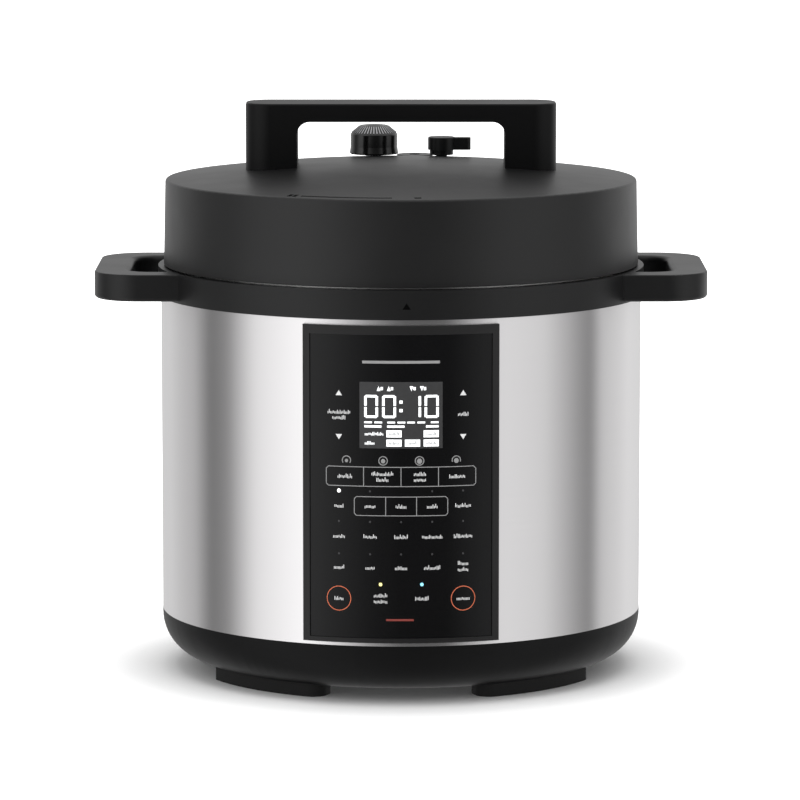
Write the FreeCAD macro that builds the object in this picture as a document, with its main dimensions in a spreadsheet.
import FreeCAD, Part

# Electric pressure cooker, six litres, free-standing.
#
# Millimetres.  The origin is on the table under the middle of the round body, +Z is up,
# the control panel faces -Y and +X is to the right of someone who faces the panel.
# Every dimension is a named cell of the sheet "Sizes", and every piece is an object whose
# own dimensions are expressions of those cells.

import math
import os
import Sketcher
from FreeCAD import Placement, Rotation, Vector

doc = FreeCAD.newDocument("PressureCooker")
sheet = doc.addObject("Spreadsheet::Sheet", "Sizes")


# ---------------------------------------------------------------------------------------
# Named sizes
# ---------------------------------------------------------------------------------------

class Size:
    """A dimension that carries its value and the sheet expression that gives the value."""

    def __init__(self, value, text):
        self.value = float(value)
        self.text = text

    def joined(self, sign, other, value):
        return Size(value, f"({self.text} {sign} {as_size(other).text})")

    def __add__(self, other):
        return self.joined("+", other, self.value + as_size(other).value)

    def __sub__(self, other):
        return self.joined("-", other, self.value - as_size(other).value)

    def __mul__(self, other):
        return self.joined("*", other, self.value * as_size(other).value)

    def __truediv__(self, other):
        return self.joined("/", other, self.value / as_size(other).value)

    def __radd__(self, other):
        return as_size(other) + self

    def __rsub__(self, other):
        return as_size(other) - self

    def __rmul__(self, other):
        return as_size(other) * self

    def __neg__(self):
        return self * -1


def as_size(number):
    """A plain number as a Size, and a Size as it is."""
    if isinstance(number, Size):
        return number
    return Size(number, f"({float(number)!r})")


def cosine(angle):
    """Cosine of an angle in degrees."""
    return Size(math.cos(math.radians(angle.value)), f"cos({angle.text} * 1 deg)")


def sine(angle):
    """Sine of an angle in degrees."""
    return Size(math.sin(math.radians(angle.value)), f"sin({angle.text} * 1 deg)")


def root(number):
    """Square root."""
    return Size(math.sqrt(number.value), f"sqrt({number.text})")


def smaller(first, second):
    """The smaller of two sizes."""
    return Size(min(first.value, second.value), f"min({first.text}; {second.text})")


def larger(first, second):
    """The larger of two sizes."""
    return Size(max(first.value, second.value), f"max({first.text}; {second.text})")


def polar(radius, angle):
    """The point at this radius and angle, in degrees from +X."""
    radius = as_size(radius)
    angle = as_size(angle)
    return radius * cosine(angle), radius * sine(angle)


def ring_of_points(radius, count, first=0.0):
    """Points spaced evenly round a circle."""
    count = int(as_size(count).value)
    return [polar(radius, first + step * 360.0 / count) for step in range(count)]


sheet_row = 0


def size(alias, value, meaning):
    """Write one named size into the sheet and return it."""
    global sheet_row
    sheet_row += 1
    sheet.set(f"A{sheet_row}", meaning)
    sheet.set(f"B{sheet_row}", str(value))
    sheet.setAlias(f"B{sheet_row}", alias)
    return Size(value, f"Sizes.{alias}")


# Body
shell_radius = size("shell_radius", 135.0, "outside radius of the steel body")
shell_wall = size("shell_wall", 0.6, "steel body sheet")
shell_height = size("shell_height", 178.3, "steel body, seam to seam")
plastic_wall = size("plastic_wall", 2.5, "wall of the moulded parts")
piece_gap = size("piece_gap", 0.3, "gap between neighbouring pieces")
running_gap = size("running_gap", 0.1, "radial gap round a turning shaft")

# Base
foot_height = size("foot_height", 6.0, "feet below the base")
foot_sink = size("foot_sink", 1.5, "feet let into the base")
foot_inset = size("foot_inset", 17.2, "outer edge of the feet inside the body")
foot_width = size("foot_width", 20.0, "feet, radially")
foot_span = size("foot_span", 42.6, "feet, degrees of arc")
foot_bearing = size("foot_bearing", 43.2, "middle of a foot from the front, degrees")
base_depth = size("base_depth", 27.2, "base, underside to steel")
base_corner = size("base_corner", 25.0, "lower edge of the base")
base_hole = size("base_hole", 62.0, "service opening in the base floor")
base_lip = size("base_lip", 8.0, "lip of the base inside the steel")
cover_lap = size("cover_lap", 8.0, "bottom cover past the service opening")
cover_thick = size("cover_thick", 2.0, "bottom cover")
vent_width = size("vent_width", 3.0, "cooling slot width")
vent_length = size("vent_length", 16.0, "cooling slot length")
vent_start = size("vent_start", 24.0, "cooling slots from the middle")
vent_count = size("vent_count", 16, "cooling slots")
cover_screw_count = size("cover_screw_count", 4, "bottom cover screws")

# Panel
panel_proud = size("panel_proud", 2.5, "front of the panel frame off the steel")
panel_span = size("panel_span", 45.76, "panel frame, degrees of arc")
panel_low = size("panel_low", 2.0, "panel frame above the base seam")
panel_high = size("panel_high", 3.1, "panel frame below the ring seam")
frame_side = size("frame_side", 1.78, "side border of the panel frame, degrees")
frame_top = size("frame_top", 4.8, "top border of the panel frame")
frame_bottom = size("frame_bottom", 2.8, "bottom border of the panel frame")
frame_bevel = size("frame_bevel", 1.0, "bevel of the panel frame")
frame_depth = size("frame_depth", 6.5, "panel frame, front to back")
face_sink = size("face_sink", 0.8, "panel face behind the frame front")
face_thick = size("face_thick", 2.4, "panel face")
window_span = size("window_span", 19.4, "display window, degrees of arc")
window_height = size("window_height", 37.0, "display window")
window_top = size("window_top", 29.8, "display window below the frame top")
board_thick = size("board_thick", 1.6, "circuit boards")
face_play = size("face_play", 0.1, "panel face inside its seat")
board_play = size("board_play", 1.5, "control board behind the frame, and off the liner")
board_fill = size("board_fill", 0.8, "control board width as a share of the frame's")
board_edge = size("board_edge", 4.0, "board screws from the board's edge")
bezel_boss = size("bezel_boss", 3.5, "screw bosses on the back of the panel frame")
boss_reach = size("boss_reach", 8.5, "screw bosses, back to front")
board_foot = size("board_foot", 8.0, "control board above the panel face's lower edge")
board_head = size("board_head", 2.0, "control board below the panel face's upper edge")
screw_foot = size("screw_foot", 13.0, "lower board screws above the face's lower edge")
screw_crown = size("screw_crown", 7.0, "upper board screws below the face's upper edge")
chip_wide = size("chip_wide", 14.0, "processor, square")
chip_proud = size("chip_proud", 1.4, "processor height")
chip_lift = size("chip_lift", 60.0, "processor above the panel face's lower edge")
socket_wide = size("socket_wide", 11.0, "ribbon connector, across")
socket_tall = size("socket_tall", 18.0, "ribbon connector, up")
socket_proud = size("socket_proud", 3.5, "ribbon connector height")
socket_lift = size("socket_lift", 28.0, "ribbon connector above the face's lower edge")
driver_wide = size("driver_wide", 11.0, "touch driver, across")
driver_tall = size("driver_tall", 18.0, "touch driver, up")
driver_proud = size("driver_proud", 2.4, "touch driver height")
driver_lift = size("driver_lift", 70.0, "touch driver above the face's lower edge")
buzzer_radius = size("buzzer_radius", 6.0, "buzzer")
buzzer_thick = size("buzzer_thick", 3.0, "buzzer height")
buzzer_inset = size("buzzer_inset", 8.0, "buzzer from the control board's edge")
buzzer_lift = size("buzzer_lift", 36.0, "buzzer above the panel face's lower edge")
module_lap = size("module_lap", 1.0, "display module past the window, above and below")

# Ring and side handles
ring_proud = size("ring_proud", 1.5, "top ring off the steel")
ring_height = size("ring_height", 16.0, "top ring above the steel")
ring_rim = size("ring_rim", 5.3, "rim of the top ring, radially")
ring_floor = size("ring_floor", 2.0, "floor of the drip channel")
handle_out = size("handle_out", 35.5, "side handles off the steel")
handle_half = size("handle_half", 60.0, "half the side handles' front to back")
handle_round = size("handle_round", 25.0, "plan corners of the side handles")
handle_thick = size("handle_thick", 15.0, "side handles, top to bottom")
handle_edge = size("handle_edge", 2.2, "rounded edges of the side handles")
grip_bar = size("grip_bar", 19.5, "grip of a side handle")
grip_half = size("grip_half", 41.0, "half the finger opening")
grip_round = size("grip_round", 12.0, "plan corners of the finger opening")
grip_funnel = size("grip_funnel", 3.2, "slope round the finger opening")
drain_bore = size("drain_bore", 2.4, "drain hole radius")
collar_rise = size("collar_rise", 4.0, "inner collar of the drip channel")
channel_cut = size("channel_cut", 3.0, "height of the drain passage")

# Pots
pot_radius = size("pot_radius", 110.0, "inside radius of the cooking pot")
pot_wall = size("pot_wall", 1.0, "cooking pot wall")
pot_height = size("pot_height", 157.5, "cooking pot, outside")
pot_corner = size("pot_corner", 14.0, "lower edge of the cooking pot")
pot_rim = size("pot_rim", 7.5, "cooking pot rim, radially")
pot_rim_thick = size("pot_rim_thick", 1.5, "cooking pot rim")
liner_gap = size("liner_gap", 3.5, "cooking pot to liner")
liner_wall = size("liner_wall", 1.5, "liner wall")
liner_drop = size("liner_drop", 2.9, "liner top below the ring top")
flange_out = size("flange_out", 4.0, "liner flange between the lugs, off the liner")
flange_thick = size("flange_thick", 2.6, "liner flange and lugs")
lug_count = size("lug_count", 6, "locking lugs on the liner and on the lid")
lug_depth = size("lug_depth", 6.0, "locking lugs, radially")
lug_span = size("lug_span", 26.0, "locking lugs, degrees of arc")
lug_slack = size("lug_slack", 1.0, "height between locked lugs")
lug_gap = size("lug_gap", 1.5, "lid lugs to the liner flange, radially")
liner_corner = size("liner_corner", 6.0, "lower edge of the liner")
leg_count = size("leg_count", 3, "legs under the liner")

# Heating
plate_inset = size("plate_inset", 14.0, "heating plate inside the cooking pot")
plate_thick = size("plate_thick", 10.0, "heating plate")
plate_hole = size("plate_hole", 16.0, "sensor hole in the heating plate")
plate_lift = size("plate_lift", 5.0, "heating plate above the liner floor")
element_ring = size("element_ring", 66.0, "heating element bend radius")
element_radius = size("element_radius", 4.0, "heating element tube")
element_sweep = size("element_sweep", 320.0, "heating element, degrees of arc")
sensor_radius = size("sensor_radius", 14.5, "thermal sensor cap")
sensor_cap = size("sensor_cap", 4.0, "thermal sensor cap height")
sensor_stem = size("sensor_stem", 6.0, "thermal sensor stem radius")
sensor_drop = size("sensor_drop", 9.0, "thermal sensor stem below the liner")
plate_foot = size("plate_foot", 5.0, "feet of the heating plate")
plate_foot_ring = size("plate_foot_ring", 0.86, "feet of the plate as a share of its radius")
element_tail = size("element_tail", 8.0, "element ends below the liner")
bracket_half = size("bracket_half", 34.0, "half the sensor bracket's length")
bracket_width = size("bracket_width", 22.0, "sensor bracket width")
bracket_round = size("bracket_round", 4.0, "corners of the sensor bracket")
rivet_inset = size("rivet_inset", 6.0, "rivets from the bracket's ends")
rivet_radius = size("rivet_radius", 2.5, "rivet head radius")
rivet_tall = size("rivet_tall", 1.2, "rivet head height")
spring_radius = size("spring_radius", 9.0, "sensor spring, middle of the wire")
spring_wire = size("spring_wire", 0.6, "sensor spring wire radius")
spring_turns = size("spring_turns", 4, "sensor spring turns")
spring_play = size("spring_play", 0.05, "sensor spring off its two seats")

# Switches and power board
switch_far = size("switch_far", 62.0, "pressure switch, far side from the middle")
switch_long = size("switch_long", 24.0, "pressure switch, left to right")
switch_front = size("switch_front", 30.0, "pressure switch, front from the middle")
switch_deep = size("switch_deep", 16.0, "pressure switch, front to back")
switch_tall = size("switch_tall", 18.0, "pressure switch case height")
stud_radius = size("stud_radius", 3.0, "pressure switch stud")
stud_drop = size("stud_drop", 24.0, "pressure switch stud end below the liner")
fuse_x = size("fuse_x", 40.0, "thermal fuse, right of the middle")
fuse_radius = size("fuse_radius", 3.0, "thermal fuse sleeve")
fuse_length = size("fuse_length", 28.0, "thermal fuse, front to back")
power_half = size("power_half", 40.0, "half the power board's length")
power_deep = size("power_deep", 30.0, "power board, front to back")
power_lift = size("power_lift", 6.0, "power board above the base floor")
power_post = size("power_post", 3.0, "power board posts, radius")
power_bite = size("power_bite", 4.5, "power board screws into their posts")
relay_x = size("relay_x", -31.0, "power relay, left side")
relay_wide = size("relay_wide", 18.0, "power relay, across")
relay_deep = size("relay_deep", 16.0, "power relay, front to back and height")
coil_x = size("coil_x", -8.0, "transformer, left side")
coil_wide = size("coil_wide", 22.0, "transformer, across and front to back")
coil_tall = size("coil_tall", 18.0, "transformer height")
coil_inset = size("coil_inset", 6.0, "transformer from the board's edge")
can_x = size("can_x", 26.0, "filter capacitor, right of the middle")
can_radius = size("can_radius", 6.5, "filter capacitor")
can_tall = size("can_tall", 20.0, "filter capacitor height")
can_inset = size("can_inset", 16.0, "filter capacitor from the board's edge")

# Lid
lid_gap = size("lid_gap", 1.0, "lid above the ring")
lid_inset = size("lid_inset", 1.7, "lower edge of the lid inside the steel body")
lid_taper = size("lid_taper", 1.0, "lid side draws in by this much")
lid_side = size("lid_side", 47.3, "straight side of the lid")
lid_rise = size("lid_rise", 9.0, "dome of the lid")
lid_edge = size("lid_edge", 1.6, "rounded upper edge of the lid")
inner_lid_thick = size("inner_lid_thick", 1.2, "steel inner lid")
inner_lid_lift = size("inner_lid_lift", 9.5, "steel inner lid above the lid's lower edge")
skirt_gap = size("skirt_gap", 1.3, "inner lid's skirt off the liner's lugs")
skirt_wall = size("skirt_wall", 1.3, "inner lid's skirt")
seal_width = size("seal_width", 11.5, "sealing ring, radially")
seal_lap = size("seal_lap", 2.1, "sealing ring past the pot's rim")
rack_wire = size("rack_wire", 1.2, "wire of the sealing ring rack")
lid_post_inset = size("lid_post_inset", 11.1, "posts inside the sealing ring")
lid_post_radius = size("lid_post_radius", 4.5, "posts inside the lid")
lid_post_count = size("lid_post_count", 6, "posts inside the lid")
post_bore = size("post_bore", 14.0, "screw bores in the lid's posts")
inner_lid_bend = size("inner_lid_bend", 3.0, "bend round the steel inner lid, outside")
inner_lid_screw = size("inner_lid_screw", 12.0, "inner lid screws")
seal_round = size("seal_round", 2.5, "outer edges of the sealing ring")
seal_lip = size("seal_lip", 3.0, "upper and lower lips of the sealing ring")
seal_back = size("seal_back", 4.0, "back of the sealing ring")
seal_slack = size("seal_slack", 0.2, "sealing ring under the inner lid")
rack_drop = size("rack_drop", 2.0, "rack wire above the sealing ring's underside")
rack_stem_count = size("rack_stem_count", 6, "stems of the sealing ring rack")
rack_stem = size("rack_stem", 0.8, "stems of the rack as a share of its wire")

# Lid handle
bridge_half = size("bridge_half", 87.0, "half the lid handle's length")
bridge_inner = size("bridge_inner", 58.0, "half the opening under the lid handle")
bridge_depth = size("bridge_depth", 36.0, "lid handle, front to back")
bridge_round = size("bridge_round", 14.0, "plan corners of the lid handle")
bridge_height = size("bridge_height", 33.9, "lid handle above the dome")
bridge_bar = size("bridge_bar", 10.1, "thickness of the lid handle's bar")
bridge_corner = size("bridge_corner", 7.0, "inner corners of the lid handle")
bridge_edge = size("bridge_edge", 1.2, "rounded top edge of the lid handle")
bridge_bore = size("bridge_bore", 26.0, "screw bores of the lid handle above the lid's rim")
bridge_screw = size("bridge_screw", 18.0, "lid handle screws")

# Valves
valve_x = size("valve_x", -15.5, "steam valve, left of the middle")
valve_y = size("valve_y", 70.0, "steam valve and lever, behind the middle")
valve_radius = size("valve_radius", 13.5, "steam valve cap")
valve_flare = size("valve_flare", 0.6, "steam valve cap, wider at its foot")
valve_height = size("valve_height", 16.6, "steam valve cap")
valve_top = size("valve_top", 7.6, "flat top of the steam valve cap, radius")
valve_slope = size("valve_slope", 5.0, "sloped shoulder of the steam valve cap")
valve_dish = size("valve_dish", 2.2, "dish in the steam valve cap")
pipe_radius = size("pipe_radius", 4.6, "vent pipe")
pipe_bore = size("pipe_bore", 1.6, "vent pipe bore radius")
pipe_drop = size("pipe_drop", 9.0, "vent pipe below the inner lid")
pipe_collar = size("pipe_collar", 3.0, "vent pipe collar past the pipe")
pipe_collar_tall = size("pipe_collar_tall", 2.0, "vent pipe collar")
nut_proud = size("nut_proud", 3.4, "vent pipe nut past the pipe")
nut_tall = size("nut_tall", 4.0, "vent pipe nut")
shield_proud = size("shield_proud", 5.0, "anti-block shield past the pipe")
shield_tall = size("shield_tall", 6.0, "anti-block shield")
shield_wall = size("shield_wall", 1.0, "anti-block shield wall")
shield_slot = size("shield_slot", 2.0, "slots of the anti-block shield, width")
valve_lift = size("valve_lift", 0.4, "valve and lever off the dome")
valve_seat = size("valve_seat", 1.5, "steam valve cap above its seat on the pipe")
lever_x = size("lever_x", 23.3, "release lever, right of the middle")
lever_neck = size("lever_neck", 6.75, "release lever neck radius")
lever_head = size("lever_head", 7.8, "release lever head radius")
lever_height = size("lever_height", 10.4, "release lever above the dome")
lever_head_tall = size("lever_head_tall", 7.4, "release lever head")
lever_reach = size("lever_reach", 16.8, "release lever tab from its axis")
lever_tab = size("lever_tab", 7.0, "release lever tab width")
lever_shaft = size("lever_shaft", 3.2, "release lever shaft radius")
lever_inside = size("lever_inside", 4.0, "release lever shaft below the lid's rim")
lever_round = size("lever_round", 2.4, "corners of the release lever tab")
clip_width = size("clip_width", 3.0, "retaining clip past the shaft")
clip_lift = size("clip_lift", 4.0, "retaining clip above the shaft's end")
clip_slot = size("clip_slot", 1.2, "groove of the retaining clip")
clip_span = size("clip_span", 300.0, "retaining clip, degrees of arc")
float_x = size("float_x", 8.0, "float valve, right of the middle")
float_y = size("float_y", 80.5, "float valve, behind the middle")
float_radius = size("float_radius", 2.9, "float valve pin radius")
float_travel = size("float_travel", 6.0, "float valve travel")
float_play = size("float_play", 0.4, "radial gap round the float valve pin")
collar_radius = size("collar_radius", 10.3, "collar round the float valve")
collar_proud = size("collar_proud", 0.8, "collar above the dome")

# Rear
inlet_half = size("inlet_half", 25.0, "half the mains inlet's flange")
inlet_tall = size("inlet_tall", 26.0, "mains inlet's flange height")
inlet_lift = size("inlet_lift", 7.0, "mains inlet's flange above the base seam")
inlet_proud = size("inlet_proud", 3.5, "mains inlet's flange off the steel")
inlet_body = size("inlet_body", 13.8, "half the mains inlet's body width")
inlet_wall = size("inlet_wall", 3.5, "mains inlet's flange past its body, above and below")
inlet_depth = size("inlet_depth", 17.0, "mains inlet, front to back")
inlet_socket = size("inlet_socket", 12.0, "half the socket's width")
inlet_socket_tall = size("inlet_socket_tall", 15.8, "socket height")
inlet_round = size("inlet_round", 5.0, "corners of the mains inlet's flange")
inlet_floor = size("inlet_floor", 2.0, "floor of the socket")
pin_spread = size("pin_spread", 7.0, "outer pins from the middle one")
pin_low = size("pin_low", 1.5, "outer pins below the socket's middle")
pin_high = size("pin_high", 2.5, "middle pin above the socket's middle")
pin_half = size("pin_half", 1.0, "half a pin's width")
pin_tall = size("pin_tall", 4.0, "pin height")
pin_sink = size("pin_sink", 4.5, "pin tips inside the socket's mouth")
pin_tail = size("pin_tail", 4.0, "pins out of the inlet's back")
cup_round = size("cup_round", 5.0, "corners of the drip cup")
cup_drop = size("cup_drop", 1.5, "drip cup under the drain spout")
cup_lip = size("cup_lip", 8.0, "drip cup's guides below its rim")
cup_stand = size("cup_stand", 8.0, "drip cup off the steel")
cup_half = size("cup_half", 31.0, "half the drip cup's width")
cup_depth = size("cup_depth", 19.0, "drip cup, front to back")
cup_height = size("cup_height", 42.0, "drip cup height")
cup_wall = size("cup_wall", 1.6, "drip cup wall")
rail_half = size("rail_half", 12.0, "half the drip cup rail's width")
rail_step = size("rail_step", 2.0, "drip cup rail thickness")
rail_play = size("rail_play", 0.5, "drip cup round its rail")

# Fasteners
screw_radius = size("screw_radius", 1.5, "small screw shank")
screw_head = size("screw_head", 3.0, "small screw head radius")
screw_head_tall = size("screw_head_tall", 1.8, "small screw head")
screw_gap = size("screw_gap", 0.05, "radial gap round a screw shank")
boss_radius = size("boss_radius", 4.0, "moulded screw boss")

doc.recompute()

# Radii that follow from the sizes
foot_radius = shell_radius - foot_inset
panel_radius = shell_radius + panel_proud
ring_radius = shell_radius + ring_proud
ring_mouth = ring_radius - ring_rim
handle_reach = shell_radius + handle_out
base_step = base_hole + cover_lap + boss_radius
liner_inside = pot_radius + pot_wall + liner_gap
liner_radius = liner_inside + liner_wall
flange_radius = liner_radius + flange_out
lug_radius = flange_radius + lug_depth
skirt_radius = lug_radius + skirt_gap + skirt_wall
plate_radius = pot_radius - plate_inset
leg_ring = (base_step + liner_radius) / 2
lid_radius = shell_radius - lid_inset
seal_outer = pot_radius + pot_wall + pot_rim + seal_lap
seal_inner = seal_outer - seal_width
lid_post_ring = seal_inner - lid_post_inset

# Heights that follow from the sizes
shell_bottom = foot_height + base_depth
shell_top = shell_bottom + shell_height
ring_top = shell_top + ring_height
lid_bottom = ring_top + lid_gap
lid_rim = lid_bottom + lid_side
lid_top = lid_rim + lid_rise
dome_radius = (lid_radius - lid_taper) * (lid_radius - lid_taper) / (lid_rise * 2) + lid_rise / 2
liner_top = ring_top - liner_drop
pot_bottom = liner_top + pot_rim_thick - pot_height
plate_top = pot_bottom - piece_gap
plate_bottom = plate_top - plate_thick
liner_floor = plate_bottom - plate_lift
liner_under = liner_floor - liner_wall
floor_top = foot_height + plastic_wall
inner_lid_under = lid_bottom + inner_lid_lift
inner_lid_top = inner_lid_under + inner_lid_thick
lid_lug_top = liner_top - flange_thick - lug_slack
spout_low = shell_top + 1
panel_bottom = shell_bottom + panel_low
panel_top = shell_top - panel_high
face_low = panel_bottom + frame_bottom
face_high = panel_top - frame_top
window_high = panel_top - window_top
window_low = window_high - window_height
inlet_low = shell_bottom + inlet_lift
inlet_high = inlet_low + inlet_tall
inlet_screws = [(side * (inlet_half - 5), (inlet_low + inlet_high) / 2) for side in (-1, 1)]
FRONT = -90.0


def dome_height(x, y, radius=dome_radius):
    """Height of the lid's dome over the point (x, y)."""
    return lid_top - radius + root(radius * radius - x * x - y * y)


# ---------------------------------------------------------------------------------------
# Building helpers
# ---------------------------------------------------------------------------------------

def new_body(label, bearing=None):
    """An empty body; with a bearing its +X side is turned to that angle from the world's +X."""
    body = doc.addObject("PartDesign::Body", label)
    body.Label = label
    body.AllowCompound = True
    if bearing is not None:
        body.Placement = Placement(Vector(0, 0, 0), Rotation(Vector(0, 0, 1), 1))
        bind(body, "Placement.Rotation.Angle", bearing)
    return body


def bind(item, prop, value):
    """Tie a property of an object to a size."""
    item.setExpression(prop, as_size(value).text)


def new_sketch(body, plane, lift=None):
    """A sketch on one of the body's origin planes, moved along the plane's normal by lift."""
    sketch = body.newObject("Sketcher::SketchObject", f"{body.Label}_sketch")
    origin_planes = {item.Role: item for item in body.Origin.OriginFeatures}
    sketch.AttachmentSupport = (origin_planes[plane], "")
    sketch.MapMode = "FlatFace"
    if lift is not None:
        bind(sketch, "AttachmentOffset.Base.z", lift)
    return sketch


def constrain(sketch, value, *constraint):
    """Add a dimension whose datum is a size."""
    value = as_size(value)
    index = sketch.addConstraint(Sketcher.Constraint(*constraint, value.value))
    sketch.setExpression(f"Constraints[{index}]", value.text)


def tie(sketch, *constraint):
    """Add a constraint that has no dimension."""
    sketch.addConstraint(Sketcher.Constraint(*constraint))


def pin_point(sketch, geometry, position, corner):
    """Hold a point of the sketch at the coordinates of a corner."""
    for value, kind, axis in ((corner[0], "DistanceX", -2), (corner[1], "DistanceY", -1)):
        if as_size(value).value == 0.0:
            tie(sketch, "PointOnObject", geometry, position, axis)
        else:
            constrain(sketch, value, kind, -1, 1, geometry, position)


def outline(body, plane, corners, lift=None):
    """A closed outline.  A corner is (u, v), (u, v, radius) for a rounded one, or
    (u, v, "dome") where the side that leaves it is an arc centred on the vertical axis."""
    sketch = new_sketch(body, plane, lift)
    count = len(corners)
    places = [Vector(as_size(c[0]).value, as_size(c[1]).value, 0) for c in corners]
    starts = list(places)
    ends = list(places)
    centres = {}
    for i, corner in enumerate(corners):
        if len(corner) < 3 or corner[2] == "dome":
            continue
        back = (places[i - 1] - places[i]).normalize()
        ahead = (places[(i + 1) % count] - places[i]).normalize()
        half = back.getAngle(ahead) / 2
        radius = as_size(corner[2]).value
        ends[i] = places[i] + back * (radius / math.tan(half))
        starts[i] = places[i] + ahead * (radius / math.tan(half))
        centres[i] = places[i] + (back + ahead).normalize() * (radius / math.sin(half))
    sides = []
    for i in range(count):
        following = (i + 1) % count
        start = starts[i]
        end = ends[following]
        if len(corners[i]) > 2 and corners[i][2] == "dome":
            sides.append(dome_side(sketch, start, end))
        else:
            sides.append((sketch.addGeometry(Part.LineSegment(start, end)), 1, 2))
    for i, corner in enumerate(corners):
        before, _, before_end = sides[i - 1]
        after, after_start, _ = sides[i]
        if i in centres:
            point = sketch.addGeometry(Part.Point(places[i]), True)
            arc, first, last = arc_between(sketch, centres[i], ends[i], starts[i])
            tie(sketch, "PointOnObject", point, 1, before)
            tie(sketch, "PointOnObject", point, 1, after)
            tie(sketch, "Tangent", before, before_end, arc, first)
            tie(sketch, "Tangent", arc, last, after, after_start)
            constrain(sketch, corner[2], "Radius", arc)
            pin_point(sketch, point, 1, corner)
        else:
            tie(sketch, "Coincident", before, before_end, after, after_start)
            pin_point(sketch, after, after_start, corner)
    return sketch


def arc_between(sketch, centre, start, end):
    """The short arc from start to end; returns its index and the positions of its ends."""
    from_angle = math.atan2(start.y - centre.y, start.x - centre.x)
    to_angle = math.atan2(end.y - centre.y, end.x - centre.x)
    circle = Part.Circle(centre, Vector(0, 0, 1), centre.distanceToPoint(start))
    if (to_angle - from_angle) % (2 * math.pi) < math.pi:
        return sketch.addGeometry(Part.ArcOfCircle(circle, from_angle, to_angle)), 1, 2
    return sketch.addGeometry(Part.ArcOfCircle(circle, to_angle, from_angle)), 2, 1


def dome_side(sketch, start, end):
    """An arc from start to end whose centre is on the sketch's vertical axis."""
    height = (start.x ** 2 + start.y ** 2 - end.x ** 2 - end.y ** 2) / (2 * (start.y - end.y))
    side = arc_between(sketch, Vector(0, height, 0), start, end)
    tie(sketch, "PointOnObject", side[0], 3, -2)
    return side


def circles(body, plane, centres, radius, lift=None):
    """A sketch of equal circles."""
    sketch = new_sketch(body, plane, lift)
    for centre in centres:
        place = Vector(as_size(centre[0]).value, as_size(centre[1]).value, 0)
        circle = Part.Circle(place, Vector(0, 0, 1), as_size(radius).value)
        index = sketch.addGeometry(circle)
        constrain(sketch, radius, "Radius", index)
        pin_point(sketch, index, 3, centre)
    return sketch


def rectangle(left, right, low, high, radius=None):
    """Corners of a rectangle, rounded where a radius is given."""
    corners = [(left, low), (right, low), (right, high), (left, high)]
    if radius is None:
        return corners
    return [corner + (radius,) for corner in corners]


def volume(body):
    """Volume of a body as built so far."""
    doc.recompute()
    return body.Shape.Volume if not body.Shape.isNull() else 0.0


def settle(body, feature, before, grows):
    """Recompute and make sure that the feature added or removed material."""
    after = volume(body)
    changed = after > before if grows else after < before
    if not changed:
        raise RuntimeError(f"{feature.Label} in {body.Label} changed nothing")
    return feature


def extrude(body, sketch, length, cut=False, reverse=False, both=False, taper=None):
    """Pad or pocket a sketch by a length."""
    before = volume(body)
    kind = "PartDesign::Pocket" if cut else "PartDesign::Pad"
    feature = body.newObject(kind, f"{body.Label}_{'pocket' if cut else 'pad'}")
    feature.Profile = sketch
    feature.Type = "Length"
    bind(feature, "Length", length)
    feature.Reversed = reverse
    feature.Midplane = both
    if taper is not None:
        bind(feature, "TaperAngle", taper)
    return settle(body, feature, before, not cut)


def turn(body, sketch, angle=None, cut=False):
    """Revolve a sketch about the body's vertical axis, all round or evenly about the sketch."""
    before = volume(body)
    kind = "PartDesign::Groove" if cut else "PartDesign::Revolution"
    feature = body.newObject(kind, f"{body.Label}_{'groove' if cut else 'turned'}")
    feature.Profile = sketch
    feature.ReferenceAxis = (sketch, ["V_Axis"])
    if angle is not None:
        bind(feature, "Angle", angle)
        feature.Midplane = True
    return settle(body, feature, before, not cut)


def sector(body, inner, outer, span, low, high, cut=False):
    """Turn a rectangular section through an angle, evenly about the body's +X side."""
    corners = [(inner, low), (outer, low), (outer, high), (inner, high)]
    return turn(body, outline(body, "XZ_Plane", corners), span, cut)


def repeat_round(body, features, count):
    """Repeat features evenly about the body's vertical axis."""
    pattern = body.newObject("PartDesign::PolarPattern", f"{body.Label}_pattern")
    pattern.Originals = features
    vertical = [item for item in body.Origin.OriginFeatures if item.Role == "Z_Axis"][0]
    pattern.Axis = (vertical, [""])
    pattern.Angle = 360
    bind(pattern, "Occurrences", count)
    body.Tip = pattern
    doc.recompute()
    return pattern


def round_edges(body, radius, chosen):
    """Fillet the edges of the body's last feature for which chosen(edge) is true."""
    doc.recompute()
    base = body.Tip
    names = [f"Edge{i + 1}" for i, edge in enumerate(base.Shape.Edges) if chosen(edge)]
    if not names:
        raise RuntimeError(f"{body.Label} has no edge to round")
    fillet = body.newObject("PartDesign::Fillet", f"{body.Label}_fillet")
    fillet.Base = (base, names)
    bind(fillet, "Radius", radius)
    body.Tip = fillet
    doc.recompute()
    return fillet


def level_edge(edge, height):
    """True for an edge that lies level at this height."""
    box = edge.BoundBox
    return abs(box.ZMin - height.value) < 1e-4 and abs(box.ZMax - height.value) < 1e-4


def block(label, left, right, front, back, low, high):
    """A box between the six planes."""
    box = doc.addObject("Part::Box", label)
    box.Label = label
    left, right, front, back, low, high = map(as_size, (left, right, front, back, low, high))
    bind(box, "Length", right - left)
    bind(box, "Width", back - front)
    bind(box, "Height", high - low)
    bind(box, "Placement.Base.x", left)
    bind(box, "Placement.Base.y", front)
    bind(box, "Placement.Base.z", low)
    return box


def post(label, x, y, low, high, radius):
    """An upright cylinder."""
    cylinder = doc.addObject("Part::Cylinder", label)
    cylinder.Label = label
    low, high = as_size(low), as_size(high)
    bind(cylinder, "Radius", radius)
    bind(cylinder, "Height", high - low)
    bind(cylinder, "Placement.Base.x", x)
    bind(cylinder, "Placement.Base.y", y)
    bind(cylinder, "Placement.Base.z", low)
    return cylinder


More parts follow.
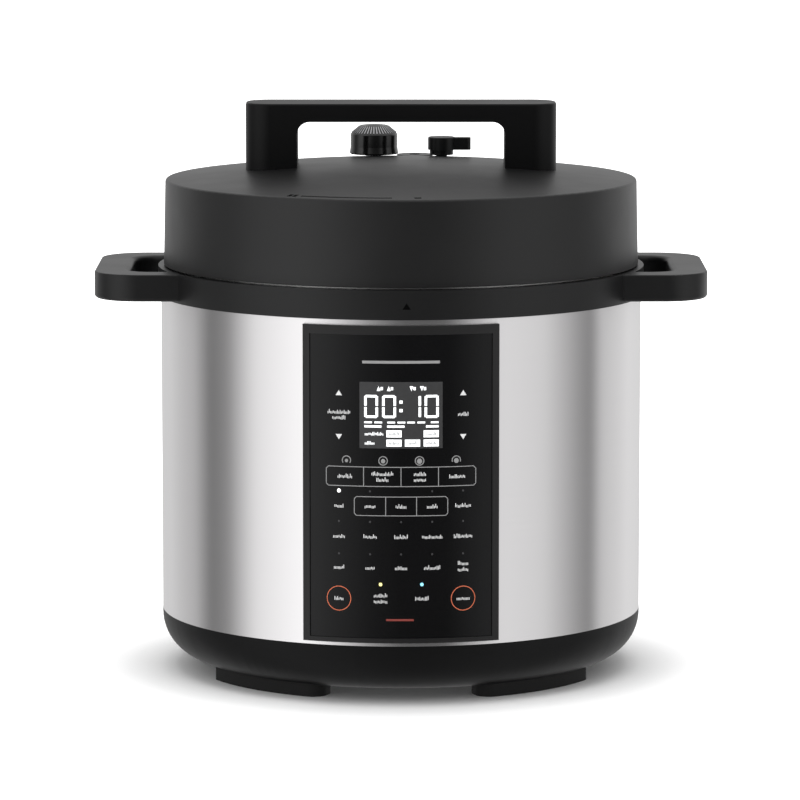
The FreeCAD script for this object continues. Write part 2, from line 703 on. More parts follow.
def joined(label, pieces):
    """One piece from several that touch or overlap."""
    fusion = doc.addObject("Part::MultiFuse", label)
    fusion.Label = label
    fusion.Shapes = pieces
    return fusion


def cut_away(label, base, tool):
    """A piece less a tool."""
    result = doc.addObject("Part::Cut", label)
    result.Label = label
    result.Base = base
    result.Tool = tool
    return result


sub_parts = []


def keep(piece):
    """List a finished sub-part for writing."""
    sub_parts.append(piece)
    return piece


def screws(label, plane, centres, head_face, length, up=True):
    """A group of equal pan-head screws on one face: head below head_face when up is true."""
    body = new_body(label)
    heads = circles(body, plane, centres, screw_head, head_face)
    extrude(body, heads, screw_head_tall, reverse=up)
    shanks = circles(body, plane, centres, screw_radius, head_face)
    extrude(body, shanks, length, reverse=not up)
    slots = circles(body, plane, centres, screw_radius * 0.6,
                    head_face - screw_head_tall if up else head_face + screw_head_tall)
    extrude(body, slots, screw_head_tall * 0.6, cut=True, reverse=up)
    return keep(body)


# ---------------------------------------------------------------------------------------
# Base
# ---------------------------------------------------------------------------------------

def make_base():
    """Moulded base pan with a lip inside the steel, four feet, and a vented bottom cover."""
    body = new_body("base_pan")
    lip_outer = shell_radius - shell_wall - piece_gap
    lip_inner = lip_outer - plastic_wall
    inner_corner = base_corner - plastic_wall - shell_wall - piece_gap
    step_top = foot_height + cover_thick + plastic_wall
    turn(body, outline(body, "XZ_Plane", [
        (base_hole, foot_height),
        (shell_radius, foot_height, base_corner),
        (shell_radius, shell_bottom),
        (lip_outer, shell_bottom),
        (lip_outer, shell_bottom + base_lip),
        (lip_inner, shell_bottom + base_lip),
        (lip_inner, floor_top, inner_corner),
        (base_step, floor_top),
        (base_step, step_top),
        (base_hole, step_top),
    ]))
    notch_half = panel_radius * sine(panel_span / 2) + piece_gap
    notch = rectangle(-notch_half, notch_half, shell_bottom, shell_bottom + base_lip)
    extrude(body, outline(body, "XZ_Plane", notch), shell_radius, cut=True, reverse=True)
    rebate = circles(body, "XY_Plane", [(0, 0)], base_hole + cover_lap, foot_height)
    extrude(body, rebate, cover_thick, cut=True, reverse=True)
    cover_screws = ring_of_points(base_hole + cover_lap / 2, cover_screw_count, 45.0)
    holes = circles(body, "XY_Plane", cover_screws, screw_radius + screw_gap, foot_height)
    extrude(body, holes, plastic_wall * 4, cut=True, reverse=True)
    feet = [make_foot(*place) for place in (
        ("foot_front_right", FRONT + foot_bearing),
        ("foot_front_left", FRONT - foot_bearing),
        ("foot_rear_right", 90.0 - foot_bearing),
        ("foot_rear_left", 90.0 + foot_bearing),
    )]
    keep(cut_away("base_housing", body, joined("foot_recesses", feet)))

    cover = new_body("bottom_cover")
    disc = circles(cover, "XY_Plane", [(0, 0)], base_hole + cover_lap - piece_gap, foot_height)
    extrude(cover, disc, cover_thick)
    clear = circles(cover, "XY_Plane", cover_screws, screw_radius + screw_gap, foot_height)
    extrude(cover, clear, cover_thick, cut=True, reverse=True)
    slot = outline(cover, "XY_Plane", rectangle(
        vent_start, vent_start + vent_length, vent_width / -2, vent_width / 2,
        vent_width * 0.45), foot_height)
    vent = extrude(cover, slot, cover_thick, cut=True, reverse=True)
    repeat_round(cover, [vent], vent_count)
    keep(cover)
    screws("bottom_cover_screws", "XY_Plane", cover_screws, foot_height, plastic_wall * 3)


def make_foot(label, bearing):
    """A rubber foot: an arc with rounded ends, let into the base."""
    foot = new_body(label, bearing)
    sector(foot, foot_radius - foot_width, foot_radius, foot_span, 0, foot_height + foot_sink)
    round_edges(foot, foot_width * 0.4,
                lambda edge: edge.BoundBox.ZLength > foot_height.value)
    return keep(foot)


# ---------------------------------------------------------------------------------------
# Steel body and control panel
# ---------------------------------------------------------------------------------------

def make_shell():
    """Rolled steel body with an opening for the panel and one for the mains inlet."""
    body = new_body("outer_shell", FRONT)
    inside = shell_radius - shell_wall
    turn(body, outline(body, "XZ_Plane", rectangle(inside, shell_radius, shell_bottom, shell_top)))
    gap = piece_gap
    sector(body, inside - gap, shell_radius + gap, panel_span + gap / 2,
           panel_bottom - gap, panel_top + gap, cut=True)
    opening = rectangle(-inlet_body - gap, inlet_body + gap,
                        inlet_low + inlet_wall - gap, inlet_high - inlet_wall + gap)
    extrude(body, outline(body, "YZ_Plane", opening), shell_radius * 1.2, cut=True)
    holes = circles(body, "YZ_Plane", inlet_screws, screw_radius + screw_gap)
    extrude(body, holes, shell_radius * 1.2, cut=True)
    keep(body)


def make_panel():
    """Panel frame, glossy touch face, display module and the boards behind them."""
    frame = new_body("panel_frame", FRONT)
    back = panel_radius - frame_depth
    sector(frame, back, panel_radius, panel_span, panel_bottom, panel_top)
    front_edges = panel_radius.value - 0.5
    round_edges(frame, frame_bevel, lambda edge: all(
        math.hypot(v.X, v.Y) > front_edges for v in edge.Vertexes))
    seat = panel_radius - face_sink - face_thick
    face_span = panel_span - frame_side * 2
    sector(frame, seat, panel_radius * 1.1, face_span, face_low, face_high, cut=True)
    sector(frame, back * 0.9, panel_radius, window_span, window_low, window_high, cut=True)
    board_front = larger(back * cosine(panel_span / 2) - board_play,
                         liner_radius + board_thick + board_play)
    board_back = board_front - board_thick
    board_room = root(back * back - board_front * board_front) - board_play
    board_half = smaller(back * sine(panel_span / 2) * board_fill, board_room)
    board_screws = [(side * (board_half - board_edge), height) for side in (-1, 1)
                    for height in (face_low + screw_foot, face_high - screw_crown)]
    bosses = circles(frame, "YZ_Plane", board_screws, bezel_boss, board_front)
    extrude(frame, bosses, boss_reach)
    bores = circles(frame, "YZ_Plane", board_screws, screw_radius + screw_gap, board_front)
    extrude(frame, bores, frame_depth, cut=True, reverse=True)
    keep(frame)

    face = new_body("panel_face", FRONT)
    sector(face, seat, seat + face_thick, face_span - face_play,
           face_low + face_play, face_high - face_play)
    keep(face)

    module_half = back * sine(window_span / 2)
    module_front = back * cosine(window_span / 2) - piece_gap
    keep(block("display_module", -module_half, module_half, -module_front, -board_front,
               window_low - module_lap, window_high + module_lap))

    board = new_body("control_board")
    plan = rectangle(-board_half, board_half, face_low + board_foot, face_high - board_head)
    extrude(board, outline(board, "XZ_Plane", plan, board_back), board_thick)
    holes = circles(board, "XZ_Plane", board_screws, screw_radius + screw_gap, board_back)
    extrude(board, holes, board_thick, cut=True, reverse=True)
    left_edge = 1 - board_half
    right_edge = board_half - 2
    for left, right, low, tall, proud in (
        (left_edge, left_edge + chip_wide, face_low + chip_lift, chip_wide, chip_proud),
        (left_edge, left_edge + socket_wide, face_low + socket_lift, socket_tall, socket_proud),
        (right_edge - driver_wide, right_edge, face_low + driver_lift, driver_tall, driver_proud),
    ):
        part = rectangle(left, right, low, low + tall)
        extrude(board, outline(board, "XZ_Plane", part, board_back), proud, reverse=True)
    keep(board)
    buzzer = new_body("buzzer")
    spot = [(board_half - buzzer_inset, face_low + buzzer_lift)]
    disc = circles(buzzer, "XZ_Plane", spot, buzzer_radius, board_back)
    extrude(buzzer, disc, buzzer_thick, reverse=True)
    keep(buzzer)
    screws("control_board_screws", "XZ_Plane", board_screws, board_back, board_thick + 4)


# ---------------------------------------------------------------------------------------
# Top ring with the side handles
# ---------------------------------------------------------------------------------------

def make_ring():
    """Moulded ring: drip channel round the liner and two side handles in one piece."""
    ring = new_body("top_ring")
    handle_low = ring_top - handle_thick
    plan = rectangle(-handle_reach, handle_reach, -handle_half, handle_half, handle_round)
    extrude(ring, outline(ring, "XY_Plane", plan, handle_low), handle_thick)
    round_edges(ring, handle_edge, lambda edge: level_edge(edge, handle_low))
    round_edges(ring, handle_edge * 0.4, lambda edge: level_edge(edge, ring_top))
    grip_end = handle_reach - grip_bar
    for side in (-1, 1):
        near = side * (ring_mouth * 0.8)
        far = side * grip_end
        corners = [(near, -grip_half), (far, -grip_half, grip_round),
                   (far, grip_half, grip_round), (near, grip_half)]
        if side < 0:
            corners.reverse()
        slot = outline(ring, "XY_Plane", corners, handle_low)
        extrude(ring, slot, handle_thick, cut=True, reverse=True)
    reach = grip_end.value + 0.1
    half = grip_half.value + 0.1
    round_edges(ring, grip_funnel, lambda edge: level_edge(edge, ring_top)
                and edge.BoundBox.XMax < reach and edge.BoundBox.XMin > -reach
                and edge.BoundBox.YMax < half and edge.BoundBox.YMin > -half
                and min(abs(edge.BoundBox.XMin), abs(edge.BoundBox.XMax)) > ring_mouth.value * 0.85)
    core = circles(ring, "XY_Plane", [(0, 0)], ring_radius - plastic_wall, handle_low)
    extrude(ring, core, handle_thick, cut=True, reverse=True)
    channel = shell_top + ring_floor
    collar = liner_radius + piece_gap
    turn(ring, outline(ring, "XZ_Plane", [
        (collar, shell_top),
        (ring_radius, shell_top),
        (ring_radius, ring_top),
        (ring_mouth, ring_top),
        (ring_mouth, channel),
        (collar + plastic_wall, channel),
        (collar + plastic_wall, channel + collar_rise),
        (collar, channel + collar_rise),
    ]))
    spout_back = shell_radius + cup_stand + cup_depth * 0.5
    spout = rectangle(-drain_bore * 3, drain_bore * 3, ring_radius - 1, spout_back)
    extrude(ring, outline(ring, "XY_Plane", spout, spout_low), drain_bore * 4)
    level = outline(ring, "XZ_Plane", rectangle(
        -drain_bore, drain_bore, channel, channel + channel_cut))
    extrude(ring, level, spout_back - drain_bore * 1.5, cut=True)
    drop = circles(ring, "XY_Plane", [(0, spout_back - drain_bore * 2)], drain_bore, spout_low)
    extrude(ring, drop, channel + 1 - spout_low, cut=True, reverse=True)
    keep(ring)


# ---------------------------------------------------------------------------------------
# Liner, heating and sensor
# ---------------------------------------------------------------------------------------

def make_liner():
    """Deep steel liner that holds the cooking pot; its flange carries the locking lugs."""
    body = new_body("liner")
    turn(body, outline(body, "XZ_Plane", [
        (plate_hole, liner_under),
        (liner_radius, liner_under, liner_corner),
        (liner_radius, liner_top - flange_thick),
        (flange_radius, liner_top - flange_thick),
        (flange_radius, liner_top),
        (liner_inside, liner_top),
        (liner_inside, liner_floor, liner_corner - liner_wall),
        (plate_hole, liner_floor),
    ]))
    leads = circles(body, "XY_Plane", element_ends, element_radius, liner_under)
    extrude(body, leads, liner_wall, cut=True, reverse=True)
    lug = sector(body, flange_radius - 1, lug_radius, lug_span, liner_top - flange_thick, liner_top)
    repeat_round(body, [lug], lug_count)
    keep(body)
    spots = ring_of_points(leg_ring, leg_count, 30.0)
    legs = new_body("liner_legs")
    extrude(legs, circles(legs, "XY_Plane", spots, boss_radius, floor_top), liner_under - floor_top)
    bore = circles(legs, "XY_Plane", spots, screw_radius + screw_gap, floor_top)
    extrude(legs, bore, liner_under - floor_top, cut=True, reverse=True)
    keep(legs)


element_ends = [polar(element_ring, angle) for angle in (0.0, element_sweep)]


def make_heater():
    """Cast plate with its tubular element."""
    body = new_body("plate_casting")
    turn(body, outline(body, "XZ_Plane", [
        (plate_hole, plate_bottom),
        (plate_radius, plate_bottom, 2),
        (plate_radius, plate_top, 1.5),
        (plate_hole, plate_top),
    ]))
    foot_spots = ring_of_points(plate_radius * plate_foot_ring, leg_count, 90.0)
    feet = circles(body, "XY_Plane", foot_spots, plate_foot, liner_floor)
    extrude(body, feet, plate_lift)
    tube = element(element_ring, element_radius, "element_tube")
    groove = element(element_ring, element_radius + screw_gap, "element_groove")
    keep(cut_away("heating_plate", body, groove))
    ends = [post(f"element_end_{i}", *place, liner_under - element_tail, plate_bottom,
                 element_radius * 0.6)
            for i, place in enumerate(element_ends)]
    keep(joined("heating_element", [tube] + ends))


def element(ring, radius, label):
    """An open ring of tube under the plate."""
    torus = doc.addObject("Part::Torus", label)
    torus.Label = label
    bind(torus, "Radius1", ring)
    bind(torus, "Radius2", radius)
    bind(torus, "Angle3", element_sweep)
    bind(torus, "Placement.Base.z", plate_bottom)
    return torus


def make_sensor():
    """Sprung thermal sensor in the middle of the plate, on a bracket under the liner."""
    cap_top = pot_bottom - 0.1
    cap_under = cap_top - sensor_cap
    sensor = new_body("thermal_sensor")
    turn(sensor, outline(sensor, "XZ_Plane", [
        (0, liner_under - sensor_drop),
        (sensor_stem, liner_under - sensor_drop),
        (sensor_stem, cap_under),
        (sensor_radius, cap_under),
        (sensor_radius, cap_top, 1.2),
        (0, cap_top),
    ]))
    keep(sensor)
    bracket = new_body("sensor_bracket")
    strap = rectangle(-bracket_half, bracket_half, bracket_width / -2, bracket_width / 2,
                      bracket_round)
    extrude(bracket, outline(bracket, "XY_Plane", strap, liner_under), liner_wall, reverse=True)
    hole = circles(bracket, "XY_Plane", [(0, 0)], sensor_stem + piece_gap, liner_under)
    extrude(bracket, hole, liner_wall, cut=True)
    rivet_spots = [(side * (bracket_half - rivet_inset), 0) for side in (-1, 1)]
    rivets = circles(bracket, "XY_Plane", rivet_spots, rivet_radius, liner_under - liner_wall)
    extrude(bracket, rivets, rivet_tall, reverse=True)
    keep(bracket)
    spring_low = liner_under + spring_wire + spring_play
    spring_high = cap_under - spring_wire - spring_play
    spring = new_body("sensor_spring")
    section = circles(spring, "XZ_Plane", [(spring_radius, spring_low)], spring_wire)
    coil = spring.newObject("PartDesign::AdditiveHelix", "sensor_spring_coil")
    coil.Profile = section
    coil.ReferenceAxis = (section, ["V_Axis"])
    coil.Mode = "pitch-height-angle"
    bind(coil, "Pitch", (spring_high - spring_low) / spring_turns)
    bind(coil, "Height", spring_high - spring_low)
    doc.recompute()
    keep(spring)


def make_electrics():
    """Pressure switch and thermal fuse under the liner, and the power board on the base."""
    switch = block("switch_case", -switch_far, switch_long - switch_far,
                   -switch_front, switch_deep - switch_front, liner_under - switch_tall, liner_under)
    stud = post("switch_stud", switch_long / 2 - switch_far, switch_deep / 2 - switch_front,
                liner_under - stud_drop, liner_under - switch_tall + 1, stud_radius)
    keep(joined("pressure_switch", [switch, stud]))
    fuse = new_body("thermal_fuse")
    sleeve = circles(fuse, "YZ_Plane", [(fuse_x, liner_under - fuse_radius)], fuse_radius,
                     fuse_length / -2)
    extrude(fuse, sleeve, fuse_length)
    keep(fuse)

    board_low = floor_top + power_lift
    board_high = board_low + board_thick
    near = base_step
    far = base_step + power_deep
    board = new_body("power_board")
    plan = rectangle(-power_half, power_half, near, far)
    extrude(board, outline(board, "XY_Plane", plan, board_low), board_thick)
    spots = [(side * (power_half - board_edge), y) for side in (-1, 1)
             for y in (near + board_edge, far - board_edge)]
    holes = circles(board, "XY_Plane", spots, screw_radius + screw_gap, board_low)
    extrude(board, holes, board_thick, cut=True, reverse=True)
    keep(board)
    posts = new_body("power_board_posts")
    extrude(posts, circles(posts, "XY_Plane", spots, power_post, floor_top), power_lift)
    bores = circles(posts, "XY_Plane", spots, screw_radius + screw_gap, floor_top)
    extrude(posts, bores, power_lift, cut=True, reverse=True)
    keep(posts)
    screws("power_board_screws", "XY_Plane", spots, board_high, board_thick + power_bite, up=False)
    relay_near = near + board_edge
    coil_near = near + coil_inset
    keep(block("power_relay", relay_x, relay_x + relay_wide, relay_near, relay_near + relay_deep,
               board_high, board_high + relay_deep))
    keep(block("power_transformer", coil_x, coil_x + coil_wide, coil_near, coil_near + coil_wide,
               board_high, board_high + coil_tall))
    keep(post("filter_capacitor", can_x, near + can_inset, board_high, board_high + can_tall,
              can_radius))


def make_inlet():
    """Mains inlet with three pins, screwed to the rear of the steel body."""
    back = new_body("power_inlet")
    face = -(shell_radius + inlet_proud)
    middle = (inlet_low + inlet_high) / 2
    plan = rectangle(-inlet_half, inlet_half, inlet_low, inlet_high, inlet_round)
    extrude(back, outline(back, "XZ_Plane", plan, face), inlet_proud * 4)
    core = rectangle(0, shell_radius, inlet_low - 1, inlet_high + 1)
    turn(back, outline(back, "XZ_Plane", core), cut=True)
    low = inlet_low + inlet_wall
    high = inlet_high - inlet_wall
    case = rectangle(-inlet_body, inlet_body, low, high)
    extrude(back, outline(back, "XZ_Plane", case, face), inlet_depth)
    socket_low = middle - inlet_socket_tall / 2
    socket_high = middle + inlet_socket_tall / 2
    bevel = inlet_socket_tall / 4
    socket = [
        (-inlet_socket, socket_low),
        (inlet_socket, socket_low),
        (inlet_socket, socket_high - bevel),
        (inlet_socket - bevel, socket_high),
        (bevel - inlet_socket, socket_high),
        (-inlet_socket, socket_high - bevel),
    ]
    extrude(back, outline(back, "XZ_Plane", socket, face), inlet_depth - inlet_floor, cut=True,
            reverse=True)
    screw_holes = circles(back, "XZ_Plane", inlet_screws, screw_radius + screw_gap, face)
    extrude(back, screw_holes, inlet_proud * 4, cut=True, reverse=True)
    pins = new_body("inlet_pins")
    for x, z in ((-pin_spread, middle - pin_low), (as_size(0), middle + pin_high),
                 (pin_spread, middle - pin_low)):
        blade = rectangle(x - pin_half, x + pin_half, z - pin_tall / 2, z + pin_tall / 2)
        extrude(back, outline(back, "XZ_Plane", blade, face), inlet_depth, cut=True,
                reverse=True)
        extrude(pins, outline(pins, "XZ_Plane", blade, face + inlet_depth + pin_tail),
                inlet_depth + pin_tail - pin_sink, reverse=True)
    keep(back)
    keep(pins)
    screws("inlet_screws", "XZ_Plane", inlet_screws, face, inlet_proud * 2.5)


def make_drip_cup():
    """Drip cup at the rear on a rail, under the ring's drain."""
    plate_back = shell_radius + rail_step
    web_back = plate_back + rail_step
    rail_back = web_back + rail_step
    high = spout_low - cup_drop
    low = high - cup_height
    rail_low = low + 6
    rail_high = high - 6
    keep(joined("drip_cup_rail", [
        block("rail_plate", -rail_half, rail_half, shell_radius, plate_back, rail_low, rail_high),
        block("rail_web", rail_half / -2, rail_half / 2, plate_back, web_back, rail_low, rail_high),
        block("rail_head", -rail_half, rail_half, web_back, rail_back, rail_low, rail_high),
    ]))
    front = shell_radius + cup_stand
    back = front + cup_depth
    cup = new_body("cup_shell")
    plan = rectangle(-cup_half, cup_half, front, back, cup_round)
    extrude(cup, outline(cup, "XY_Plane", plan, low), cup_height)
    inner = rectangle(cup_wall - cup_half, cup_half - cup_wall, front + cup_wall,
                      back - cup_wall, cup_round - cup_wall)
    extrude(cup, outline(cup, "XY_Plane", inner, low + cup_wall), cup_height, cut=True,
            reverse=True)
    lips = []
    for side, name in ((-1, "left"), (1, "right")):
        inside = rail_half / 2 + rail_play
        outside = rail_half + rail_play
        wall = outside + rail_step
        spans = [(inside, wall, plate_back + rail_play / 2, web_back - rail_play / 2),
                 (outside, wall, plate_back + rail_play / 2, front + 1)]
        for i, (near, far, lip_front, lip_back) in enumerate(spans):
            left, right = (near, far) if side > 0 else (-far, -near)
            lips.append(block(f"lip_{name}_{i}", left, right, lip_front, lip_back,
                              low, high - cup_lip))
    keep(joined("drip_cup", [cup] + lips))


def make_pot():
    """Drawn steel cooking pot with a flat rim that rests on the liner."""
    pot = new_body("inner_pot")
    outer = pot_radius + pot_wall
    rim = outer + pot_rim
    turn(pot, outline(pot, "XZ_Plane", [
        (0, pot_bottom),
        (outer, pot_bottom, pot_corner),
        (outer, liner_top),
        (rim, liner_top),
        (rim, liner_top + pot_rim_thick),
        (pot_radius, liner_top + pot_rim_thick, 1.0),
        (pot_radius, pot_bottom + pot_wall, pot_corner - pot_wall),
        (0, pot_bottom + pot_wall),
    ]))
    keep(pot)


# ---------------------------------------------------------------------------------------
# Lid
# ---------------------------------------------------------------------------------------

valve = (valve_x, valve_y)
lever = (lever_x, valve_y)
floater = (float_x, float_y)
handle_screws = [(side * (bridge_half + bridge_inner) / 2, end * bridge_depth / 4)
                 for side in (-1, 1) for end in (-1, 1)]
lid_posts = ring_of_points(lid_post_ring, lid_post_count, 0.0)


def lid_profile(inset):
    """Half section of the lid's outside, moved inwards by inset and closed at its foot."""
    return [
        (0, lid_bottom),
        (lid_radius - inset, lid_bottom),
        (lid_radius - lid_taper - inset, lid_rim - inset, "dome"),
        (0, lid_top - inset),
    ]


def make_lid_cover():
    """Moulded lid: tapered side, shallow dome, posts for the inner lid, holes for the valves."""
    cover = new_body("lid_cover")
    turn(cover, outline(cover, "XZ_Plane", lid_profile(0)))
    round_edges(cover, lid_edge, lambda edge: level_edge(edge, lid_rim))
    turn(cover, outline(cover, "XZ_Plane", [
        (0, lid_bottom - 1),
        (lid_radius - plastic_wall, lid_bottom - 1),
        (lid_radius - lid_taper - plastic_wall, lid_rim - plastic_wall, "dome"),
        (0, lid_top - plastic_wall),
    ]), cut=True)
    posts = circles(cover, "XY_Plane", lid_posts, lid_post_radius, inner_lid_top)
    extrude(cover, posts, dome_height(lid_post_ring, 0) - plastic_wall / 2 - inner_lid_top)
    bores = circles(cover, "XY_Plane", lid_posts, screw_radius + screw_gap, inner_lid_top)
    extrude(cover, bores, post_bore, cut=True, reverse=True)
    for place, radius in ((valve, pipe_radius + piece_gap), (lever, lever_shaft + running_gap),
                          (floater, collar_radius - 2)):
        hole = circles(cover, "XY_Plane", [place], radius, lid_rim - plastic_wall)
        extrude(cover, hole, lid_rise * 2, cut=True, reverse=True)
    holes = circles(cover, "XY_Plane", handle_screws, screw_radius + screw_gap, lid_rim)
    extrude(cover, holes, lid_rise * 2, cut=True, reverse=True)
    return keep(cover)


def make_bridge():
    """Bridge handle over the lid, cut at its feet to the dome it stands on."""
    bridge = new_body("bridge_body")
    top = lid_top + bridge_height
    plan = rectangle(-bridge_half, bridge_half, bridge_depth / -2, bridge_depth / 2, bridge_round)
    extrude(bridge, outline(bridge, "XY_Plane", plan, lid_rim), top - lid_rim)
    round_edges(bridge, bridge_edge, lambda edge: level_edge(edge, top))
    under = top - bridge_bar
    window = [
        (-bridge_inner, lid_rim - 1),
        (bridge_inner, lid_rim - 1),
        (bridge_inner, under, bridge_corner),
        (-bridge_inner, under, bridge_corner),
    ]
    extrude(bridge, outline(bridge, "XZ_Plane", window), bridge_depth * 2, cut=True, both=True)
    bores = circles(bridge, "XY_Plane", handle_screws, screw_radius + screw_gap, lid_rim)
    extrude(bridge, bores, bridge_bore, cut=True, reverse=True)
    dome = new_body("dome_solid")
    turn(dome, outline(dome, "XZ_Plane", lid_profile(0)))
    keep(cut_away("lid_handle", bridge, dome))
    seat = dome_height((bridge_half + bridge_inner) / 2 + screw_head,
                       bridge_depth / 4 + screw_head) - plastic_wall
    screws("lid_handle_screws", "XY_Plane", handle_screws, seat, bridge_screw)


def make_inner_lid():
    """Steel inner lid: flat disc, deep skirt, and lugs that lock under the liner's."""
    inner = new_body("inner_lid")
    inside = skirt_radius - skirt_wall
    lug_low = lid_lug_top - flange_thick
    turn(inner, outline(inner, "XZ_Plane", [
        (0, inner_lid_under),
        (inside, inner_lid_under, inner_lid_bend - inner_lid_thick),
        (inside, lug_low),
        (skirt_radius, lug_low),
        (skirt_radius, inner_lid_top, inner_lid_bend),
        (0, inner_lid_top),
    ]))
    for place, radius in ((valve, pipe_radius + running_gap), (floater, float_radius + float_play)):
        hole = circles(inner, "XY_Plane", [place], radius, inner_lid_under)
        extrude(inner, hole, inner_lid_thick, cut=True, reverse=True)
    bores = circles(inner, "XY_Plane", lid_posts, screw_radius + screw_gap, inner_lid_under)
    extrude(inner, bores, inner_lid_thick, cut=True, reverse=True)
    start = new_body("inner_lid_lugs", 180.0 / lug_count.value)
    lug = sector(start, flange_radius + lug_gap, inside + skirt_wall / 2, lug_span,
                 lug_low, lid_lug_top)
    repeat_round(start, [lug], lug_count)
    inner.Label = "inner_lid_dish"
    keep(joined("steel_inner_lid", [inner, start]))
    screws("inner_lid_screws", "XY_Plane", lid_posts, inner_lid_under, inner_lid_screw)


def make_seal():
    """Silicone sealing ring and the wire rack that carries it."""
    low = liner_top + pot_rim_thick + piece_gap
    high = inner_lid_under - seal_slack
    groove = seal_outer - seal_back
    seal = new_body("sealing_ring")
    turn(seal, outline(seal, "XZ_Plane", [
        (seal_inner, low),
        (seal_outer, low, seal_round),
        (seal_outer, high, seal_round),
        (seal_inner, high),
        (seal_inner, high - seal_lip),
        (groove, high - seal_lip, 1),
        (groove, low + seal_lip, 1),
        (seal_inner, low + seal_lip),
    ]))
    keep(seal)
    rack = new_body("seal_rack")
    rack_ring = seal_inner - rack_wire * 2
    rack_low = low + rack_drop
    turn(rack, circles(rack, "XZ_Plane", [(rack_ring, rack_low)], rack_wire))
    stem_spots = ring_of_points(rack_ring, rack_stem_count, 15.0)
    stems = circles(rack, "XY_Plane", stem_spots, rack_wire * rack_stem, rack_low)
    extrude(rack, stems, inner_lid_under - rack_low)
    keep(rack)


def make_steam_valve():
    """Vent pipe with its nut and filter, and the weighted cap that lifts off."""
    base = dome_height(valve_x, valve_y - valve_radius) + valve_lift
    top = base + valve_height
    bore_top = top - valve_slope - valve_seat
    pipe = new_body("vent_pipe")
    low = inner_lid_under - pipe_drop
    extrude(pipe, circles(pipe, "XY_Plane", [valve], pipe_radius, low), bore_top - 1 - low)
    rim = circles(pipe, "XY_Plane", [valve], pipe_radius + pipe_collar, inner_lid_top)
    extrude(pipe, rim, pipe_collar_tall)
    bore = circles(pipe, "XY_Plane", [valve], pipe_bore, low)
    extrude(pipe, bore, bore_top - low, cut=True, reverse=True)
    keep(pipe)
    nut = new_body("vent_pipe_nut")
    blank = circles(nut, "XY_Plane", [valve], pipe_radius + nut_proud, inner_lid_under)
    extrude(nut, blank, nut_tall, reverse=True)
    thread = circles(nut, "XY_Plane", [valve], pipe_radius + screw_gap, inner_lid_under)
    extrude(nut, thread, nut_tall, cut=True)
    keep(nut)
    shield = new_body("anti_block_shield")
    shield_top = inner_lid_under - nut_tall - seal_slack
    wide = pipe_radius + shield_proud
    outside = circles(shield, "XY_Plane", [valve], wide, shield_top)
    extrude(shield, outside, shield_tall, reverse=True)
    inside = circles(shield, "XY_Plane", [valve], wide - shield_wall, shield_top)
    extrude(shield, inside, shield_tall - shield_wall, cut=True)
    x, y = valve
    slot_half = shield_slot / 2
    for left, right, front, back in ((x - wide, x + wide, y - slot_half, y + slot_half),
                                     (x - slot_half, x + slot_half, y - wide, y + wide)):
        slot = rectangle(left, right, front, back)
        extrude(shield, outline(shield, "XY_Plane", slot, shield_top - shield_tall / 3),
                shield_tall / 2, cut=True)
    keep(shield)
    cap = new_body("steam_valve_cap")
    turn(cap, outline(cap, "XZ_Plane", [
        (0, bore_top),
        (pipe_radius + piece_gap, bore_top),
        (pipe_radius + piece_gap, base),
        (valve_radius + valve_flare, base, 0.8),
        (valve_radius, base + 4, 6),
        (valve_radius, top - valve_slope, 1.5),
        (valve_top, top, 0.8),
        (valve_top - 2, top - 0.3),
        (0, top - valve_dish),
    ]))
    bind(cap, "Placement.Base.x", valve_x)
    bind(cap, "Placement.Base.y", valve_y)
    keep(cap)


def make_lever():
    """Rotary release lever: head with a tab, neck, shaft through the lid, retaining clip."""
    base = dome_height(lever_x, valve_y - lever_head) + valve_lift
    top = lid_top + lever_height - 2
    body = new_body("lever_stem")
    neck_top = top - lever_head_tall
    shaft_low = lid_rim - lever_inside
    turn(body, outline(body, "XZ_Plane", [
        (0, shaft_low),
        (lever_shaft, shaft_low),
        (lever_shaft, base),
        (lever_neck, base),
        (lever_neck, neck_top),
        (lever_head, neck_top),
        (lever_head, top, 0.8),
        (0, top),
    ]))
    tab = [(0, lever_tab / -2), (lever_reach, lever_tab / -2, lever_round),
           (lever_reach, lever_tab / 2, lever_round), (0, lever_tab / 2)]
    extrude(body, outline(body, "XY_Plane", tab, neck_top), lever_head_tall - 0.4)
    clip_low = shaft_low + clip_lift
    groove = rectangle(lever_shaft - 0.8, lever_shaft + 1, clip_low, clip_low + clip_slot)
    turn(body, outline(body, "XZ_Plane", groove), cut=True)
    body.Label = "release_lever"
    bind(body, "Placement.Base.x", lever_x)
    bind(body, "Placement.Base.y", valve_y)
    keep(body)
    clip = new_body("lever_clip")
    corners = rectangle(lever_shaft - 0.75, lever_shaft + clip_width,
                        clip_low + running_gap, clip_low + clip_slot - running_gap)
    turn(clip, outline(clip, "XZ_Plane", corners), clip_span)
    bind(clip, "Placement.Base.x", lever_x)
    bind(clip, "Placement.Base.y", valve_y)
    keep(clip)


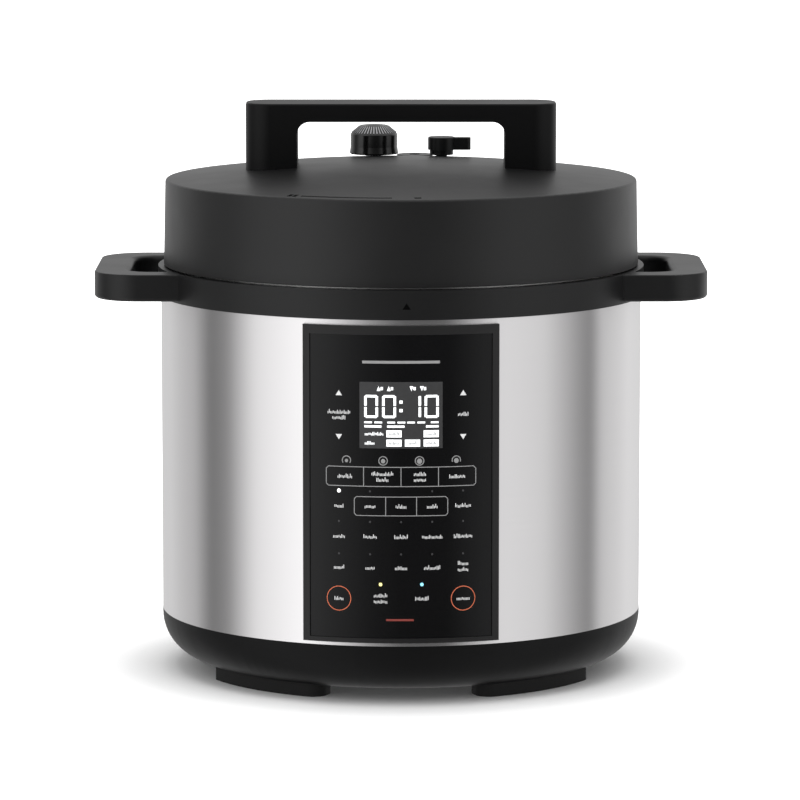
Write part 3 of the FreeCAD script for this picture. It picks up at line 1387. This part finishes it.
def make_float_valve():
    """Float pin that rises when the pot is under pressure, its seal, and a collar."""
    under = inner_lid_under - float_travel - float_play
    pin_top = dome_height(float_x, float_y) - float_travel
    pin = new_body("float_valve")
    turn(pin, outline(pin, "XZ_Plane", [
        (0, under - 6),
        (float_radius + 1.6, under - 6),
        (float_radius + 1.6, under - 5),
        (float_radius - 1, under - 5),
        (float_radius - 1, under - 2),
        (float_radius, under - 2),
        (float_radius, pin_top, 0.8),
        (0, pin_top),
    ]))
    bind(pin, "Placement.Base.x", float_x)
    bind(pin, "Placement.Base.y", float_y)
    keep(pin)
    seal = new_body("float_seal")
    turn(seal, outline(seal, "XZ_Plane", [
        (float_radius - 0.95, under - 4.9),
        (float_radius + 3, under - 4.9, 0.6),
        (float_radius + 3, under - 2.6, 0.6),
        (float_radius - 0.95, under - 2.1),
    ]))
    bind(seal, "Placement.Base.x", float_x)
    bind(seal, "Placement.Base.y", float_y)
    keep(seal)
    collar_top = dome_height(float_x, float_y) + collar_proud
    neck = collar_radius - 2.1
    low = lid_rim - 4
    flange = post("collar_flange", float_x, float_y, lid_rim, collar_top, collar_radius)
    keep(cut_away("float_collar", joined("collar_blank", [
        cut_away("collar_seat", flange, doc.getObject("dome_solid")),
        post("collar_neck", float_x, float_y, low, collar_top, neck),
    ]), post("collar_bore", float_x, float_y, low, collar_top, float_radius + float_play)))


builders = (
    make_base, make_shell, make_panel, make_ring, make_liner, make_heater, make_sensor,
    make_electrics, make_inlet, make_drip_cup, make_pot, make_lid_cover, make_bridge,
    make_inner_lid, make_seal, make_steam_valve, make_lever, make_float_valve,
)
for build in builders:
    build()
doc.recompute()


# ---------------------------------------------------------------------------------------
# Check and write
# ---------------------------------------------------------------------------------------

for item in doc.Objects:
    if "Invalid" in item.State or "Error" in item.State:
        raise RuntimeError(f"{item.Name} failed: {item.State}")
for piece in sub_parts:
    if piece.Shape.isNull() or not piece.Shape.isValid() or not piece.Shape.Solids:
        raise RuntimeError(f"{piece.Label} has no valid shape")

os.makedirs("parts", exist_ok=True)
for piece in sub_parts:
    piece.Shape.exportStep(f"parts/{piece.Label}.step")
print(f"{len(sub_parts)} sub-parts written")
